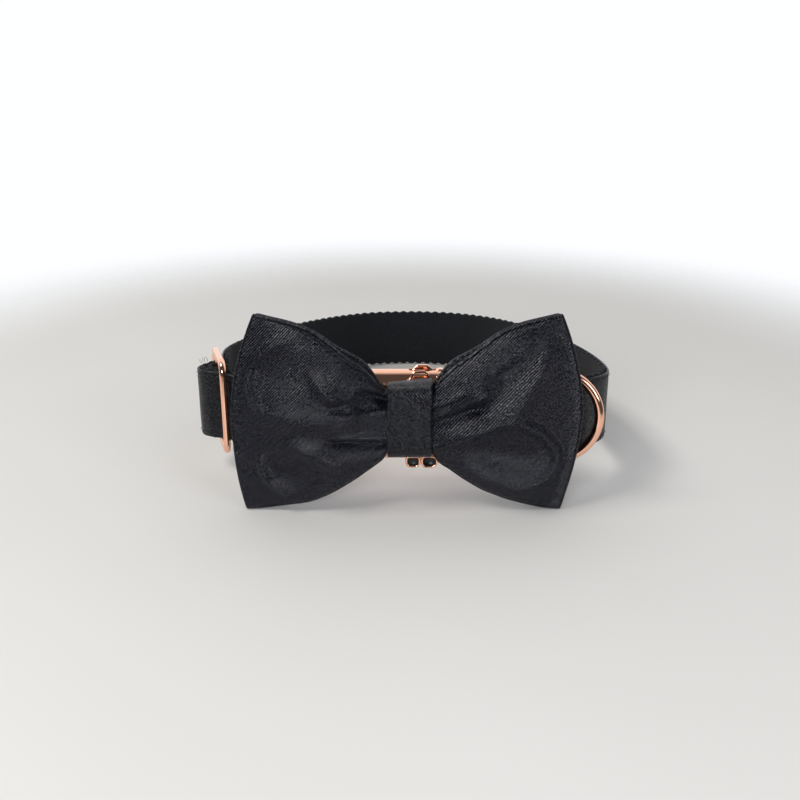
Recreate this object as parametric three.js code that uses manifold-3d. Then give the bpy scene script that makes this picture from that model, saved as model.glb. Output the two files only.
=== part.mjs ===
// Pet bow tie collar: a webbing collar with a satin face, closed with a metal side buckle, with a
// strap slider on its left, a leash ring on its right and a two-layer satin bow on elastic keepers.
//
// Millimetres, +Z up, the bow faces -Y. The collar lies as it does by itself on a table: the bow's
// lower corners and the lower edge of the strap's far side touch the surface, so the whole collar
// leans back a little. The origin is the centre of its footprint, on the surface.
//
// Inside the collar group: x runs along the buckle, y goes from the bow to the far side of the
// strap, z is across the strap's width, and 0,0,0 is the buckle's centre.

import * as THREE from "three";
import { mergeVertices } from "three/addons/utils/BufferGeometryUtils.js";
import Module from "manifold-3d";

const wasm = await Module();
wasm.setup();

// Driving dimensions

const gap = 0.3; // between pieces that touch
const strapWidth = 25;
const webbing = 1.6; // thickness of the woven strap
const facing = 1.0; // thickness of the satin sewn on its outer face
const facingInset = 0.4; // the satin stops this far inside each strap edge
const layerGap = 0.4; // between the two layers of a strap loop

const ringHalfWidth = 67.1; // from the middle to the strap at its widest
const ringDepth = 118; // from the buckle to the strap's far side

const barSpacing = 55; // between the buckle's two strap bars
const barSize = 3; // round metal bars of buckle and slider
const buckleHalfHeight = 15;
const buckleThickness = 9;
const buckleWall = 1.5;
const buckleMouth = 12; // the socket's mouth, from the buckle's centre
const buckleCorner = 4;
const buckleEdge = 1.1; // rounding of the cast edges
const slotLength = 3.7; // room beside each bar for the strap
const slotClearance = 0.6; // from the strap's edge to the slot's end
const tongueDepth = 24; // how far the tongue reaches into the socket
const tongueHalfHeight = 4.5;
const armWidth = 2.4;
const padReach = 16.6; // the squeeze pads stand out this far from the middle
const padLength = 6.8;
const plugPlay = 0.5; // clearance of the plug inside the socket

const sliderLength = 27;
const sliderHalfHeight = 16.75;
const sliderCorner = 5;
const sliderInset = 2.3; // from the ring's widest line in to the slider's middle
const sliderY = 17;
const sliderLean = 18; // degrees from straight back

const ringWire = 3; // leash ring
const ringInnerHalf = 13.4; // half of the straight bar's clear length
const ringStraight = 0.9; // arms' straight stretch before the arc
const ringPivotX = 46.2;
const ringPivotY = -2;
const ringOpen = 10; // degrees that the ring stands off the strap

const bowHalfLength = 54.8;
const bowHalfHeight = 31;
const bowRise = 3; // the bow sits this much above the strap's middle
const bowWall = 0.8; // one ply of satin with its interlining
const plyEdge = 1.9; // thickness of a turned edge
const pouchEdgeY = -10.75; // the plane between the bow's two layers
const frontBelly = 4.4; // how far the front layer puffs out past its edge thickness
const backBelly = 3.8;
const frontKnot = 1.3; // the same, where the layers run through the knot
const pleatRoom = 0.7; // room for the front's pleats inside the knot
const backKnot = 1.1;
const backLayerShare = 0.985; // the back layer's size against the front one's
const hollowInset = 2.6; // from the pouch's edge to its hollow
const hollowPuff = 0.3; // the hollow's puff against the pouch's, so that it stays under the folds

const knotWidth = 14;
const knotWall = 1.3;
const knotTop = 11.2;
const knotBottom = 13.4;
const knotCorner = 3;
const knotShift = 0.8; // the knot sits this much to the right

const keeperWidth = 6.5;
const keeperWall = 1.0;
const barPinch = 6.5; // from a buckle bar to where its strap loop closes up and a keeper sits

// Helpers for closed solids

const degrees = THREE.MathUtils.degToRad;

function toSolid(geometry) {
  const bare = geometry.clone();
  bare.deleteAttribute("normal");
  bare.deleteAttribute("uv");
  const merged = mergeVertices(bare, 1e-4);
  const mesh = new wasm.Mesh({
    numProp: 3,
    vertProperties: Float32Array.from(merged.attributes.position.array),
    triVerts: Uint32Array.from(merged.index.array),
  });
  return new wasm.Manifold(mesh);
}

function toGeometry(solid) {
  const mesh = solid.getMesh();
  const geometry = new THREE.BufferGeometry();
  geometry.setAttribute("position", new THREE.BufferAttribute(mesh.vertProperties, 3));
  geometry.setIndex(new THREE.BufferAttribute(mesh.triVerts, 1));
  geometry.computeVertexNormals();
  return geometry;
}

function cut(geometry, ...tools) {
  return toGeometry(tools.reduce((solid, tool) => solid.subtract(toSolid(tool)), toSolid(geometry)));
}

function join(geometry, ...others) {
  return toGeometry(others.reduce((solid, other) => solid.add(toSolid(other)), toSolid(geometry)));
}

// A block between two corners.
function block(x0, x1, y0, y1, z0, z1) {
  const box = new THREE.BoxGeometry(x1 - x0, y1 - y0, z1 - z0);
  return box.translate((x0 + x1) / 2, (y0 + y1) / 2, (z0 + z1) / 2);
}

// A cubic through the rows of a table, read in one named column.
function readTable(rows, at, key, column) {
  const last = rows.length - 1;
  let i = 0;
  while (i < last - 1 && rows[i + 1][key] < at) i += 1;
  const slope = (k) => {
    const a = rows[Math.max(k - 1, 0)];
    const b = rows[Math.min(k + 1, last)];
    return (b[column] - a[column]) / (b[key] - a[key]);
  };
  const width = rows[i + 1][key] - rows[i][key];
  const t = THREE.MathUtils.clamp((at - rows[i][key]) / width, 0, 1);
  const s = t * t * (3 - 2 * t);
  const start = t * (1 - t) * (1 - t) * width * slope(i);
  const end = t * t * (t - 1) * width * slope(i + 1);
  return rows[i][column] * (1 - s) + rows[i + 1][column] * s + start + end;
}

// A rounded rectangle around the origin of its own plane.
function roundedRectangle(halfX, halfY, corner) {
  const shape = new THREE.Shape();
  shape.moveTo(-halfX + corner, -halfY);
  shape.lineTo(halfX - corner, -halfY);
  shape.absarc(halfX - corner, -halfY + corner, corner, -Math.PI / 2, 0);
  shape.absarc(halfX - corner, halfY - corner, corner, 0, Math.PI / 2);
  shape.absarc(-halfX + corner, halfY - corner, corner, Math.PI / 2, Math.PI);
  shape.absarc(-halfX + corner, -halfY + corner, corner, Math.PI, Math.PI * 1.5);
  return shape;
}

// A flat casting: an outline in x and z, a thickness along y, rounded edges.
function casting(shape, thickness, edge, curveSegments = 4) {
  const geometry = new THREE.ExtrudeGeometry(shape, {
    depth: thickness - 2 * edge,
    bevelThickness: edge,
    bevelSize: edge,
    bevelOffset: -edge,
    bevelSegments: 2,
    curveSegments,
  });
  return geometry.translate(0, 0, edge - thickness / 2).rotateX(Math.PI / 2);
}

// Strap paths, drawn in the plane that the strap's edges lie in

// Points along a smooth line, closer together where it bends.
function walk(points, maxTurn = 9, maxStep = 9) {
  const curve = new THREE.CatmullRomCurve3(points.map((p) => new THREE.Vector3(p[0], p[1], 0)));
  const fine = curve.getSpacedPoints(Math.round(curve.getLength() / 0.4));
  const kept = [fine[0]];
  let from = 0;
  for (let i = 1; i < fine.length - 1; i += 1) {
    const before = fine[from + 1].clone().sub(fine[from]);
    const after = fine[i + 1].clone().sub(fine[i]);
    const turned = THREE.MathUtils.radToDeg(before.angleTo(after));
    if (turned > maxTurn || fine[i].distanceTo(fine[from]) > maxStep) {
      kept.push(fine[i]);
      from = i;
    }
  }
  kept.push(fine[fine.length - 1]);
  return kept;
}

// The line shifted sideways; positive is to the right of its direction.
function shifted(points, distance) {
  return points.map((point, i) => {
    const before = points[Math.max(i - 1, 0)];
    const after = points[Math.min(i + 1, points.length - 1)];
    const along = after.clone().sub(before).normalize();
    return new THREE.Vector3(point.x + along.y * distance, point.y - along.x * distance, 0);
  });
}

// A ribbon of one thickness along a line, standing on its edge.
function ribbon(points, thickness, width) {
  const right = shifted(points, thickness / 2);
  const left = shifted(points, -thickness / 2).reverse();
  const shape = new THREE.Shape([...right, ...left].map((p) => new THREE.Vector2(p.x, p.y)));
  const geometry = new THREE.ExtrudeGeometry(shape, { depth: width, bevelEnabled: false });
  return geometry.translate(0, 0, -width / 2);
}

// The strap's line past the leash ring; out is a share of the way to the ring's widest line.
const shoulderStations = [
  { out: 0.28, back: 0.0095 },
  { out: 0.431, back: 0.018 },
  { out: 0.598, back: 0.031 },
  { out: 0.799, back: 0.06 },
  { out: 0.95, back: 0.1 },
];

// Its line round the neck from there to the slider, as shares of the ring.
const ringStations = [
  { across: 1.0, back: 0.165 },
  { across: 0.99, back: 0.28 },
  { across: 0.95, back: 0.42 },
  { across: 0.87, back: 0.575 },
  { across: 0.745, back: 0.735 },
  { across: 0.56, back: 0.88 },
  { across: 0.315, back: 0.971 },
  { across: 0.03, back: 1.0 },
  { across: -0.25, back: 0.971 },
  { across: -0.48, back: 0.885 },
  { across: -0.68, back: 0.76 },
  { across: -0.84, back: 0.62 },
  { across: -0.945, back: 0.49 },
  { across: -0.985, back: 0.38 },
];

const barX = barSpacing / 2;
const wrap = barSize * Math.SQRT1_2 + gap + webbing / 2; // radius of the strap round a bar
const pinch = (webbing + layerGap) / 2; // half the distance between a loop's two layers

// The strap round a buckle bar; side is +1 for the right bar, turn runs from 0 to 1.
function aroundBar(side, turn) {
  const angle = Math.PI / 2 + side * turn * Math.PI;
  return [side * barX + wrap * Math.cos(angle), wrap * Math.sin(angle)];
}

// The slider's own plane: t runs along the strap towards the far side, n outwards.
const sliderAngle = degrees(sliderLean);
const sliderX = sliderInset - ringHalfWidth;
function atSlider(t, n) {
  const x = sliderX - t * Math.sin(sliderAngle) - n * Math.cos(sliderAngle);
  const y = sliderY + t * Math.cos(sliderAngle) - n * Math.sin(sliderAngle);
  return [x, y];
}

const outerBar = sliderLength / 2 - barSize / 2; // from the slider's middle to its outer bars
const barRound = 0.2; // room for the bars' flat sides
const stack = webbing / 2 + gap + facing; // from the webbing's middle to the satin's face
const under = barSize / 2 + barRound + gap + stack; // radius of the strap inside an outer bar
const tailWrap = barSize / 2 + barRound + gap + webbing / 2; // the tail round the middle bar
const loopStep = webbing + layerGap; // from one layer of a loop to the next
const over = tailWrap + loopStep; // radius of the strap over the middle bar
const pocket = ringWire / 2 + gap + webbing / 2; // radius of the strap round the leash ring's bar

// Where the straight run between two slider bars leaves them, in degrees from the slider's plane.
const crossingAngle = THREE.MathUtils.radToDeg(Math.acos((over + under) / outerBar));

// Points on an arc round one of the slider's bars, at the given angles.
function roundSliderBar(barT, radius, angles) {
  return angles.map((angle) => {
    const turn = degrees(angle);
    return atSlider(barT + radius * Math.cos(turn), radius * Math.sin(turn));
  });
}

// Points on an arc in front of the leash ring's straight bar.
function roundRingBar(angles) {
  return angles.map((angle) => {
    const turn = degrees(angle);
    return [ringPivotX + pocket * Math.cos(turn), ringPivotY + pocket * Math.sin(turn)];
  });
}

const keeperEnd = barX + barPinch + keeperWidth;
const rightTail = [
  [ringPivotX + ringWire, pinch * 1.2],
  [ringPivotX, pinch],
  [keeperEnd, pinch],
  [barX + barPinch, pinch],
  [barX + barPinch * 0.45, (pinch + wrap) * 0.54],
  aroundBar(1, 0),
];
const rightFront = [
  [barX + barPinch * 0.45, -(pinch + wrap) * 0.54],
  [barX + barPinch, -pinch],
  [keeperEnd, -pinch],
  ...roundRingBar([-135, -112, -90, -68, -45]),
];
const pocketEnd = roundRingBar([-45])[0][0];
const shoulder = shoulderStations.map((row) => {
  const x = pocketEnd + row.out * (ringHalfWidth - pocketEnd);
  return [x, row.back * ringDepth];
});
const round = ringStations.map((row) => [row.across * ringHalfWidth, row.back * ringDepth]);
const throughSlider = [
  ...roundSliderBar(outerBar, under, [-100, -116, crossingAngle - 180]),
  ...roundSliderBar(0, over, [crossingAngle, 68, 90, 112, 180 - crossingAngle]),
  ...roundSliderBar(-outerBar, under, [-crossingAngle, -55]),
];

// A place on the left between the keeper and where the strap reaches the slider.
function beforeSlider(share, radius, y) {
  const reached = roundSliderBar(-outerBar, radius, [-55])[0][0];
  return [-keeperEnd + share * (reached + keeperEnd), y];
}

const leftFront = [
  beforeSlider(0.47, under, -pinch * 0.9),
  [-keeperEnd, -pinch],
  [-barX - barPinch, -pinch],
  [-barX - barPinch * 0.45, -(pinch + wrap) * 0.54],
];
const leftBack = [
  [-barX - barPinch * 0.45, (pinch + wrap) * 0.54],
  [-barX - barPinch, pinch],
  [-keeperEnd, pinch],
  beforeSlider(0.445, under + loopStep, pinch * 1.1),
];
const tailLoop = [
  ...roundSliderBar(-outerBar, under + loopStep, [-55, -crossingAngle]),
  ...roundSliderBar(0, tailWrap, [180 - crossingAngle, 112, 90, 60, 30, 0, -30, -60, -90]),
];

const mainStretch = [...rightFront, ...shoulder, ...round, ...throughSlider, ...leftFront];
const rightTurn = [0.25, 0.5, 0.75, 1].map((turn) => aroundBar(1, turn));
const leftTurn = [0, 0.25, 0.5, 0.75, 1].map((turn) => aroundBar(-1, 1 - turn));

const webbingLine = walk([
  ...rightTail,
  ...rightTurn,
  ...mainStretch,
  ...leftTurn,
  ...leftBack,
  ...tailLoop,
]);
const facingLine = shifted(walk(mainStretch), webbing / 2 + gap + facing / 2);

function makeWebbing() {
  return ribbon(webbingLine, webbing, strapWidth);
}

function makeFacing() {
  return ribbon(facingLine, facing, strapWidth - 2 * facingInset);
}

// Buckle

const slotHalf = strapWidth / 2 + slotClearance;
const barOuter = barX + barSize / 2;
const barInner = barX - barSize / 2;

// Opens the end of a casting to a bar with a strap slot beside it; side as in aroundBar.
function barTools(side) {
  const half = barSize / 2;
  const end = barOuter + buckleWall;
  const inner = barInner - slotLength;
  const x = (a, b) => (side > 0 ? [a, b] : [-b, -a]);
  const deep = buckleThickness;
  return [
    block(...x(inner, end), half, deep, -slotHalf, slotHalf),
    block(...x(inner, end), -deep, -half, -slotHalf, slotHalf),
    block(...x(inner, barInner), -deep, deep, -slotHalf, slotHalf),
  ];
}

function bodyShape(fromX, toX, leftCorner, rightCorner) {
  const shape = new THREE.Shape();
  const high = buckleHalfHeight;
  shape.moveTo(fromX + leftCorner, -high);
  shape.lineTo(toX - rightCorner, -high);
  shape.absarc(toX - rightCorner, -high + rightCorner, rightCorner, -Math.PI / 2, 0);
  shape.absarc(toX - rightCorner, high - rightCorner, rightCorner, 0, Math.PI / 2);
  shape.absarc(fromX + leftCorner, high - leftCorner, leftCorner, Math.PI / 2, Math.PI);
  shape.absarc(fromX + leftCorner, -high + leftCorner, leftCorner, Math.PI, Math.PI * 1.5);
  return shape;
}

const cavityHalfHeight = buckleHalfHeight - buckleWall - 0.3;
const cavityHalfDepth = buckleThickness / 2 - buckleWall;
const padFrom = buckleMouth - 3.6 - padLength;
const windowPlay = 0.8;
const mouthBand = 2.6;
const bandProud = 0.4;

function makeSocket() {
  const body = casting(
    bodyShape(-barOuter, buckleMouth, buckleCorner, 1.5), buckleThickness, buckleEdge);
  const bandShape = roundedRectangle(mouthBand / 2, buckleHalfHeight + bandProud, 0.8);
  const band = casting(bandShape, buckleThickness + 2 * bandProud, 0.5, 2);
  band.translate(buckleMouth - mouthBand / 2, 0, 0);
  const cavity = block(
    buckleMouth - tongueDepth - 1, buckleMouth + 1,
    -cavityHalfDepth, cavityHalfDepth, -cavityHalfHeight, cavityHalfHeight);
  const windows = block(
    padFrom - windowPlay, padFrom + padLength + windowPlay,
    -cavityHalfDepth, cavityHalfDepth, -padReach - 2, padReach + 2);
  return cut(join(body, band), cavity, windows, ...barTools(-1));
}

function makePlug() {
  const face = buckleMouth + gap;
  const body = casting(
    bodyShape(face, barOuter, 1.5, buckleCorner), buckleThickness, buckleEdge);
  const halfDepth = cavityHalfDepth - plugPlay;
  const tongue = block(
    buckleMouth - tongueDepth, face + 2, -halfDepth, halfDepth,
    -tongueHalfHeight, tongueHalfHeight);
  const pieces = [tongue];
  for (const side of [-1, 1]) {
    const inner = cavityHalfHeight - plugPlay - armWidth;
    const outer = cavityHalfHeight - plugPlay;
    const arm = block(
      padFrom, face + 2, -halfDepth, halfDepth,
      Math.min(side * inner, side * outer), Math.max(side * inner, side * outer));
    const pad = new THREE.Shape();
    pad.moveTo(padFrom, side * (inner + 0.4));
    pad.lineTo(padFrom, side * (padReach - 1.6));
    pad.lineTo(padFrom + 1.6, side * padReach);
    pad.lineTo(padFrom + padLength - 1.6, side * padReach);
    pad.lineTo(padFrom + padLength, side * (padReach - 1.6));
    pad.lineTo(padFrom + padLength, side * (inner + 0.4));
    const grip = new THREE.ExtrudeGeometry(pad, { depth: 2 * halfDepth, bevelEnabled: false });
    pieces.push(arm, grip.translate(0, 0, -halfDepth).rotateX(Math.PI / 2));
  }
  return cut(join(body, ...pieces), ...barTools(1));
}

// Slider: a flat frame with a middle bar, its length along the strap

function makeSlider() {
  const shape = roundedRectangle(sliderLength / 2, sliderHalfHeight, sliderCorner);
  const slotFrom = barSize / 2;
  const slotTo = outerBar - barSize / 2;
  for (const side of [-1, 1]) {
    const slot = roundedRectangle((slotTo - slotFrom) / 2, slotHalf, 1.2);
    const middle = side * (slotFrom + slotTo) / 2;
    const points = slot.getPoints(3).map((p) => new THREE.Vector2(p.x + middle, p.y));
    shape.holes.push(new THREE.Path(points));
  }
  const frame = casting(shape, barSize, 0.8, 5);
  return frame.rotateZ(Math.PI / 2 + sliderAngle).translate(sliderX, sliderY, 0);
}

// Leash ring: a straight bar in the strap's pocket and a round bow, one soldered piece

const ringArc = ringInnerHalf + ringWire / 2; // radius of the wire's middle line

class LeashRingLine extends THREE.Curve {
  getPoint(t, target = new THREE.Vector3()) {
    const arc = Math.PI * ringArc;
    const whole = arc + 2 * ringStraight;
    const along = t * whole;
    if (along < ringStraight) return target.set(along, 0, -ringArc);
    if (along > whole - ringStraight) return target.set(whole - along, 0, ringArc);
    const angle = (along - ringStraight) / ringArc - Math.PI / 2;
    return target.set(ringStraight + ringArc * Math.cos(angle), 0, ringArc * Math.sin(angle));
  }
}

const wireSides = 10;

function makeLeashRing() {
  const section = new THREE.Shape();
  for (let i = 0; i < wireSides; i += 1) {
    const angle = (i * 2 * Math.PI) / wireSides;
    const x = (ringWire / 2) * Math.cos(angle);
    const y = (ringWire / 2) * Math.sin(angle);
    if (i === 0) section.moveTo(x, y);
    else section.lineTo(x, y);
  }
  section.closePath();
  const bow = new THREE.ExtrudeGeometry(section, {
    steps: 28,
    bevelEnabled: false,
    extrudePath: new LeashRingLine(),
  });
  const length = 2 * ringArc + ringWire;
  const bar = new THREE.CylinderGeometry(ringWire / 2, ringWire / 2, length, wireSides);
  return join(bow, bar.rotateX(Math.PI / 2));
}

// Bow: two turned satin pouches, one on the other, gathered through the knot

// The wing's edges, from the knot to the outer edge, as shares of the bow's half height.
const wingEdges = [
  { reach: 0, top: 0.26, bottom: 0.355 },
  { reach: 0.145, top: 0.26, bottom: 0.365 },
  { reach: 0.185, top: 0.355, bottom: 0.49 },
  { reach: 0.25, top: 0.455, bottom: 0.6 },
  { reach: 0.33, top: 0.56, bottom: 0.71 },
  { reach: 0.45, top: 0.69, bottom: 0.835 },
  { reach: 0.6, top: 0.825, bottom: 0.915 },
  { reach: 0.8, top: 0.95, bottom: 0.97 },
  { reach: 0.9, top: 0.985, bottom: 0.99 },
  { reach: 1, top: 1, bottom: 1 },
];

// How far the outer corners draw in, as shares of the bow's half length, and how sharply.
const wingCorners = [
  { side: -1, top: 0.151, topCurve: 1.75, bottom: 0.057, bottomCurve: 2.6 },
  { side: 1, top: 0.146, topCurve: 1.75, bottom: 0.099, bottomCurve: 1.6 },
];

// Folds and dents of the front layer. reach and height place the middle, as shares of the half
// length and half height; along and across are half sizes as shares of the half length; lean is
// in degrees; rise is a share of the belly, negative for a dent.
const frontFolds = [
  { side: -1, reach: 0.63, height: 0.48, along: 0.2, across: 0.125, lean: -18, rise: -0.42 },
  { side: -1, reach: 0.89, height: 0.33, along: 0.2, across: 0.04, lean: 86, rise: 0.18 },
  { side: -1, reach: 0.27, height: 0.17, along: 0.17, across: 0.032, lean: -6, rise: -0.5 },
  { side: -1, reach: 0.27, height: -0.03, along: 0.2, across: 0.07, lean: -2, rise: 0.3 },
  { side: -1, reach: 0.27, height: -0.25, along: 0.16, across: 0.026, lean: 4, rise: -0.5 },
  { side: -1, reach: 0.66, height: 0, along: 0.2, across: 0.06, lean: 0, rise: 0.2 },
  { side: -1, reach: 0.5, height: -0.38, along: 0.18, across: 0.045, lean: 28, rise: 0.22 },
  { side: -1, reach: 0.71, height: -0.57, along: 0.17, across: 0.1, lean: 18, rise: -0.36 },
  { side: -1, reach: 0.8, height: -0.7, along: 0.13, across: 0.03, lean: -46, rise: 0.16 },
  { side: 1, reach: 0.62, height: 0.5, along: 0.2, across: 0.1, lean: 35, rise: -0.4 },
  { side: 1, reach: 0.7, height: 0.27, along: 0.23, across: 0.042, lean: 52, rise: 0.22 },
  { side: 1, reach: 0.2, height: 0.14, along: 0.1, across: 0.026, lean: 4, rise: -0.45 },
  { side: 1, reach: 0.34, height: 0.07, along: 0.2, across: 0.036, lean: 22, rise: -0.3 },
  { side: 1, reach: 0.34, height: -0.13, along: 0.2, across: 0.036, lean: 21, rise: 0.26 },
  { side: 1, reach: 0.2, height: -0.24, along: 0.09, across: 0.024, lean: 4, rise: -0.3 },
  { side: 1, reach: 0.56, height: -0.4, along: 0.21, across: 0.12, lean: -14, rise: -0.42 },
  { side: 1, reach: 0.85, height: -0.38, along: 0.15, across: 0.036, lean: 88, rise: 0.2 },
  { side: 1, reach: 0.75, height: -0.64, along: 0.13, across: 0.034, lean: 50, rise: 0.16 },
];

// Depth of the folds at a place on the front, in shares of the belly.
function foldDepth(side, x, z) {
  let depth = 0;
  for (const fold of frontFolds) {
    if (fold.side !== side) continue;
    const dx = x / bowHalfLength - fold.reach;
    const dz = (z - fold.height * bowHalfHeight) / bowHalfLength;
    const turn = degrees(fold.lean);
    const along = (dx * Math.cos(turn) + dz * Math.sin(turn)) / fold.along;
    const across = (dz * Math.cos(turn) - dx * Math.sin(turn)) / fold.across;
    depth += fold.rise * Math.exp(-(along ** 4) - across ** 2);
  }
  return depth;
}

// A place on a wing: reach from 0 at the knot to 1, height from -1 to 1.
function wingPoint(side, reach, height, inset = 0) {
  const corner = wingCorners.find((row) => row.side === side);
  const up = height > 0;
  const pull = up ? corner.top : corner.bottom;
  const curve = up ? corner.topCurve : corner.bottomCurve;
  const draw = pull * reach ** 3 * Math.abs(height) ** curve;
  const edge = readTable(wingEdges, reach, "reach", up ? "top" : "bottom");
  const x = (bowHalfLength - inset) * (reach - draw);
  return { x, z: height * Math.max(edge * bowHalfHeight - inset, 1) };
}

// How full the pouch is at a place, from 0 at its edges to 1.
function fullness(reach, height) {
  const outward = 1 - THREE.MathUtils.smoothstep(reach, 0.62, 1.0);
  const across = Math.sqrt(Math.max(1 - Math.abs(height) ** 2.4, 0));
  return outward * across;
}

// Puff of a face out of the pouch's edge; the hollow inside has no folds.
function puff(face, hollow, side, reach, height, x, z) {
  const front = face === "front";
  const belly = front ? frontBelly : backBelly;
  const knot = front ? frontKnot : backKnot;
  const open = THREE.MathUtils.smoothstep(reach, 0.1, 0.45);
  const full = knot + (belly - knot) * open;
  if (hollow) return full * hollowPuff * fullness(reach, height);
  const folds = front ? foldDepth(side, x, z) : 0;
  return full * (1 + folds) * fullness(reach, height);
}

// The sections of a pouch, each a closed loop in y and z, from the left edge to the right edge.
const wingReaches = [0.03, 0.1, 0.15, 0.2, 0.26, 0.33, 0.41, 0.5, 0.59, 0.68, 0.77, 0.86, 0.94, 1];
const faceHeights = [-1, -0.9, -0.74, -0.6, -0.48, -0.37, -0.27, -0.17, -0.07, 0.03, 0.13, 0.23,
  0.34, 0.46, 0.6, 0.76, 0.9, 1];
const hollowReaches = [0.05, 0.2, 0.35, 0.5, 0.65, 0.8, 0.92];
const hollowHeights = [-1, -0.6, -0.3, 0, 0.3, 0.6, 1];

// A closed body through loops of points, with flat ends.
function loft(loops) {
  const count = loops[0].length;
  const positions = loops.flat().flatMap((p) => [p.x, p.y, p.z]);
  const index = [];
  for (let i = 0; i < loops.length - 1; i += 1) {
    for (let j = 0; j < count; j += 1) {
      const a = i * count + j;
      const b = i * count + ((j + 1) % count);
      index.push(a, b + count, b, a, a + count, b + count);
    }
  }
  const end = (loops.length - 1) * count;
  const half = count / 2;
  for (let j = 0; j < half - 1; j += 1) {
    const mirror = count - 1 - j;
    index.push(j, j + 1, mirror, j + 1, mirror - 1, mirror);
    index.push(end + j, end + mirror, end + j + 1, end + j + 1, end + mirror, end + mirror - 1);
  }
  const geometry = new THREE.BufferGeometry();
  geometry.setAttribute("position", new THREE.Float32BufferAttribute(positions, 3));
  geometry.setIndex(index);
  return geometry;
}

// One pouch of the bow: frontY and backY give its two faces' middle planes.
function pouchLoops(layer, reaches, heights, inset) {
  const { frontY, backY, frontFace, backFace, share } = layer;
  const stations = [...reaches.map((r) => -r).reverse(), ...reaches];
  return stations.map((station) => {
    const side = station < 0 ? -1 : 1;
    const reach = Math.abs(station);
    const face = (kind, planeY, sign, list) => list.map((height) => {
      const { x, z } = wingPoint(side, reach, height, inset);
      const rise = kind ? puff(kind, inset > 0, side, reach, height, x, z) : 0;
      const y = planeY + sign * (rise - inset * wallShare);
      return new THREE.Vector3(side * x * share, y, z * share);
    });
    const front = face(frontFace, frontY, -1, heights);
    const back = face(backFace, backY, 1, [...heights].reverse());
    return [...front, ...back];
  });
}

const wallShare = bowWall / hollowInset; // the hollow's inset in depth against that at the edges
const frontLayer = {
  frontY: pouchEdgeY - gap / 2 - plyEdge,
  backY: pouchEdgeY - gap / 2,
  frontFace: "front",
  backFace: null,
  share: 1,
};
const backLayer = {
  frontY: pouchEdgeY + gap / 2,
  backY: pouchEdgeY + gap / 2 + plyEdge,
  frontFace: null,
  backFace: "back",
  share: backLayerShare,
};

const slitLength = 10; // the turning slit at the back of each pouch, under the knot
const slitHeight = 3;
const slitDepth = bowWall + 0.2; // through the back ply, into the hollow

function makePouch(layer) {
  const outer = loft(pouchLoops(layer, wingReaches, faceHeights, 0));
  const hollow = loft(pouchLoops(layer, hollowReaches, hollowHeights, hollowInset));
  const slit = block(
    -slitLength / 2, slitLength / 2, layer.backY - slitDepth, layer.backY + backKnot + 1,
    -slitHeight / 2, slitHeight / 2);
  return cut(outer, join(hollow, slit));
}

// Knot: a satin band round both layers

const knotFrontY = frontLayer.frontY - frontKnot - pleatRoom - gap - knotWall;
const knotBackY = backLayer.backY + backKnot + gap + knotWall;

function makeKnot() {
  const middleY = (knotFrontY + knotBackY) / 2;
  const halfDepth = (knotBackY - knotFrontY) / 2;
  const halfHeight = (knotTop + knotBottom) / 2;
  const outline = roundedRectangle(halfDepth, halfHeight, knotCorner);
  const inside = roundedRectangle(halfDepth - knotWall, halfHeight - knotWall, knotCorner - knotWall);
  outline.holes.push(new THREE.Path(inside.getPoints(3)));
  const edge = 0.4;
  const band = new THREE.ExtrudeGeometry(outline, {
    depth: knotWidth - 2 * edge,
    bevelThickness: edge,
    bevelSize: edge,
    bevelOffset: -edge,
    bevelSegments: 1,
    curveSegments: 4,
  });
  band.translate(0, 0, edge - knotWidth / 2);
  band.rotateX(Math.PI / 2).rotateZ(Math.PI / 2);
  return band.translate(knotShift, middleY, (knotTop - knotBottom) / 2);
}

// Elastic keepers: loops on the bow's back that the strap passes through

function makeKeeper(side) {
  const front = -(pinch + stack + gap);
  const back = pinch + webbing / 2 + gap;
  const halfHeight = strapWidth / 2 + gap;
  const x = side * (barX + barPinch + keeperWidth / 2);
  const from = x - keeperWidth / 2;
  const to = x + keeperWidth / 2;
  const outside = block(
    from, to, front - keeperWall, back + keeperWall, -halfHeight - keeperWall,
    halfHeight + keeperWall);
  const inside = block(from - 1, to + 1, front, back, -halfHeight, halfHeight);
  return cut(outside, inside);
}

// Materials

const blackSatin = new THREE.MeshStandardMaterial({
  color: 0x2b2b35, roughness: 0.42, metalness: 0, side: THREE.DoubleSide });
const blackWebbing = new THREE.MeshStandardMaterial({ color: 0x121317, roughness: 0.9, metalness: 0 });
const facingSatin = new THREE.MeshStandardMaterial({ color: 0x25262c, roughness: 0.5, metalness: 0 });
const blackElastic = new THREE.MeshStandardMaterial({ color: 0x18181b, roughness: 0.85, metalness: 0 });
const roseGold = new THREE.MeshStandardMaterial({ color: 0xe3a486, roughness: 0.16, metalness: 1 });

function piece(name, geometry, material) {
  const mesh = new THREE.Mesh(geometry, material);
  mesh.name = name;
  return mesh;
}

// Assembly

const collar = new THREE.Group();
collar.add(piece("webbing_strap", makeWebbing(), blackWebbing));
collar.add(piece("satin_facing", makeFacing(), facingSatin));
collar.add(piece("buckle_socket", makeSocket(), roseGold));
collar.add(piece("buckle_plug", makePlug(), roseGold));
collar.add(piece("strap_slider", makeSlider(), roseGold));
collar.add(piece("elastic_keeper_left", makeKeeper(-1), blackElastic));
collar.add(piece("elastic_keeper_right", makeKeeper(1), blackElastic));

const leashRing = piece("leash_ring", makeLeashRing(), roseGold);
leashRing.position.set(ringPivotX, ringPivotY, 0);
leashRing.rotation.z = -degrees(ringOpen);
collar.add(leashRing);

const bow = new THREE.Group();
bow.position.z = bowRise;
bow.add(piece("bow_front_layer", makePouch(frontLayer), blackSatin));
bow.add(piece("bow_back_layer", makePouch(backLayer), blackSatin));
bow.add(piece("bow_knot", makeKnot(), blackSatin));
collar.add(bow);

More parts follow.
